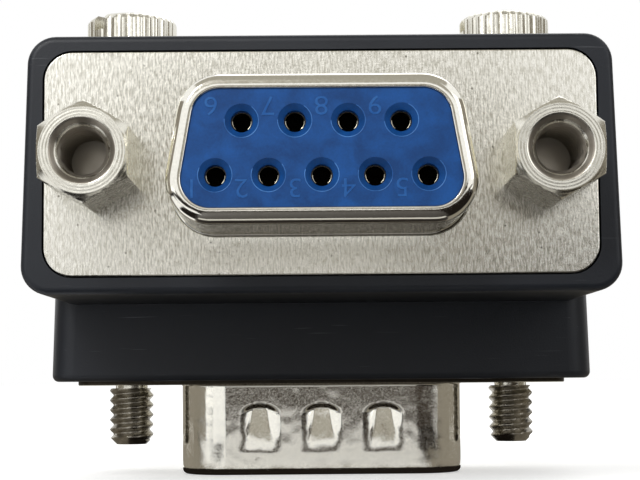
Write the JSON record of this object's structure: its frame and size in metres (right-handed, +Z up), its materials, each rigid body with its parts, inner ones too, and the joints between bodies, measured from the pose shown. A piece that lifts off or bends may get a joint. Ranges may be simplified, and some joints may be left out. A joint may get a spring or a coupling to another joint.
{
  "type": "right-angle d-sub gender changer",
  "caption": "Right-angle adapter that joins a D-shaped socket in front to a D-shaped plug below, with hexagonal standoffs and long knurled thumbscrews.",
  "frame": {"origin": "centre of the plug's flange face, midway between the two thumbscrew axes", "axes": "+Z up along the plug, away from its mouth; the socket looks along -Y; +X to the right as seen from in front of the socket"},
  "size_m": [0.0336, 0.0321, 0.0301],
  "materials": {
    "housing_black": "moulded black plastic with a fine satin texture",
    "insulator_blue": "moulded blue glass-filled plastic, satin",
    "shell_nickel": "drawn steel with satin nickel plating",
    "screw_nickel": "turned steel with bright nickel plating",
    "contact_metal": "turned brass with a thin plated coat",
    "tinned_copper": "bare tinned copper wire"
  },
  "bodies": {
    "adapter": {"housing": "housing_black", "socket_shell": "shell_nickel", "socket_rear_shell": "shell_nickel", "socket_insulator": "insulator_blue", "socket_insulator_rear": "insulator_blue", "plug_shell": "shell_nickel", "plug_rear_shell": "shell_nickel", "plug_insulator": "insulator_blue", "plug_insulator_rear": "insulator_blue", "socket_contact_1": "contact_metal", "socket_contact_2": "contact_metal", "socket_contact_3": "contact_metal", "socket_contact_4": "contact_metal", "socket_contact_5": "contact_metal", "socket_contact_6": "contact_metal", "socket_contact_7": "contact_metal", "socket_contact_8": "contact_metal", "socket_contact_9": "contact_metal", "link_wire_1": "tinned_copper", "link_wire_2": "tinned_copper", "link_wire_3": "tinned_copper", "link_wire_4": "tinned_copper", "link_wire_5": "tinned_copper", "link_wire_6": "tinned_copper", "link_wire_7": "tinned_copper", "link_wire_8": "tinned_copper", "link_wire_9": "tinned_copper", "plug_pin_1": "contact_metal", "plug_pin_2": "contact_metal", "plug_pin_3": "contact_metal", "plug_pin_4": "contact_metal", "plug_pin_5": "contact_metal", "plug_pin_6": "contact_metal", "plug_pin_7": "contact_metal", "plug_pin_8": "contact_metal", "plug_pin_9": "contact_metal", "standoff_left": "screw_nickel", "standoff_right": "screw_nickel", "standoff_nut_left": "screw_nickel", "standoff_nut_right": "screw_nickel"},
    "left_thumbscrew": {"thumbscrew_left": "screw_nickel"},
    "right_thumbscrew": {"thumbscrew_right": "screw_nickel"}
  },
  "joints": [
    {"name": "left_thumbscrew_turn", "type": "hinge", "parent": "adapter", "child": "left_thumbscrew", "pos_m": [-0.01249, 0, 0], "axis": [0, 0, 1], "continuous": true},
    {"name": "right_thumbscrew_turn", "type": "hinge", "parent": "adapter", "child": "right_thumbscrew", "pos_m": [0.01249, 0, 0], "axis": [0, 0, 1], "continuous": true}
  ]
}
